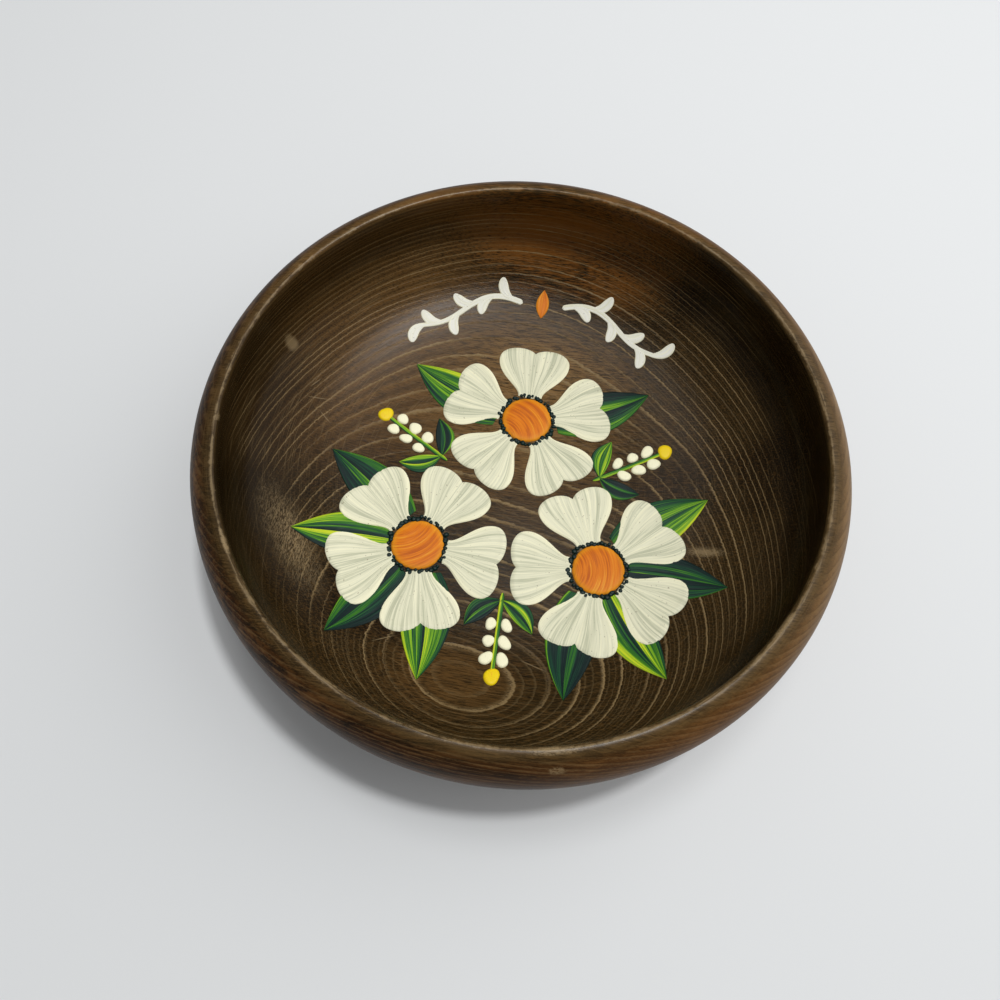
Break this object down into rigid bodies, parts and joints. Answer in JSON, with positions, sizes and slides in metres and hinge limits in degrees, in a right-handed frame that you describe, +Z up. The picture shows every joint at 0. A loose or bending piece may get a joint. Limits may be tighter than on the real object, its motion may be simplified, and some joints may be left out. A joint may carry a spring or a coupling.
{
  "type": "painted wooden bowl",
  "caption": "Shallow round turned wooden bowl with a rounded in-curving rim, a low foot and painted blossoms, leaves and vines in its hollow.",
  "frame": {"origin": "middle of the foot, on the surface that the bowl stands on", "axes": "+Z up along the turning axis; +X along the wood's grain; the painting reads upright with +Y at its top"},
  "size_m": [0.23, 0.23, 0.058],
  "materials": {
    "stained_wood": "satin lacquer over dark stain",
    "cream_paint": "satin, streaked by the brush",
    "orange_paint": "satin, streaked by the brush",
    "yellow_paint": "satin",
    "black_green_paint": "satin",
    "dark_green_paint": "satin, streaked by the brush",
    "leaf_green_paint": "satin, streaked by the brush"
  },
  "bodies": {
    "root": {"bowl_body": "stained_wood", "blossom_1_eye": "orange_paint", "blossom_2_eye": "orange_paint", "blossom_3_eye": "orange_paint", "blossom_1_edging": "black_green_paint", "blossom_2_edging": "black_green_paint", "blossom_3_edging": "black_green_paint", "blossom_1_petal_1": "cream_paint", "blossom_1_petal_2": "cream_paint", "blossom_1_petal_3": "cream_paint", "blossom_1_petal_4": "cream_paint", "blossom_1_petal_5": "cream_paint", "blossom_2_petal_1": "cream_paint", "blossom_2_petal_2": "cream_paint", "blossom_2_petal_3": "cream_paint", "blossom_2_petal_4": "cream_paint", "blossom_2_petal_5": "cream_paint", "blossom_3_petal_1": "cream_paint", "blossom_3_petal_2": "cream_paint", "blossom_3_petal_3": "cream_paint", "blossom_3_petal_4": "cream_paint", "blossom_3_petal_5": "cream_paint", "side_leaf_1_left": "leaf_green_paint", "side_leaf_2_left": "leaf_green_paint", "side_leaf_3_left": "leaf_green_paint", "side_leaf_1_right": "dark_green_paint", "side_leaf_2_right": "dark_green_paint", "side_leaf_3_right": "dark_green_paint", "back_leaf_2_left": "dark_green_paint", "back_leaf_3_left": "dark_green_paint", "back_leaf_2_right": "leaf_green_paint", "back_leaf_3_right": "leaf_green_paint", "berry_sprig_1": "yellow_paint", "berry_sprig_2": "yellow_paint", "berry_sprig_3": "yellow_paint", "sprig_leaf_1_left": "leaf_green_paint", "sprig_leaf_2_left": "leaf_green_paint", "sprig_leaf_3_left": "leaf_green_paint", "sprig_leaf_1_right": "dark_green_paint", "sprig_leaf_2_right": "dark_green_paint", "sprig_leaf_3_right": "dark_green_paint", "vine_left": "cream_paint", "vine_right": "cream_paint", "vine_bud": "orange_paint"}
  },
  "joints": []
}
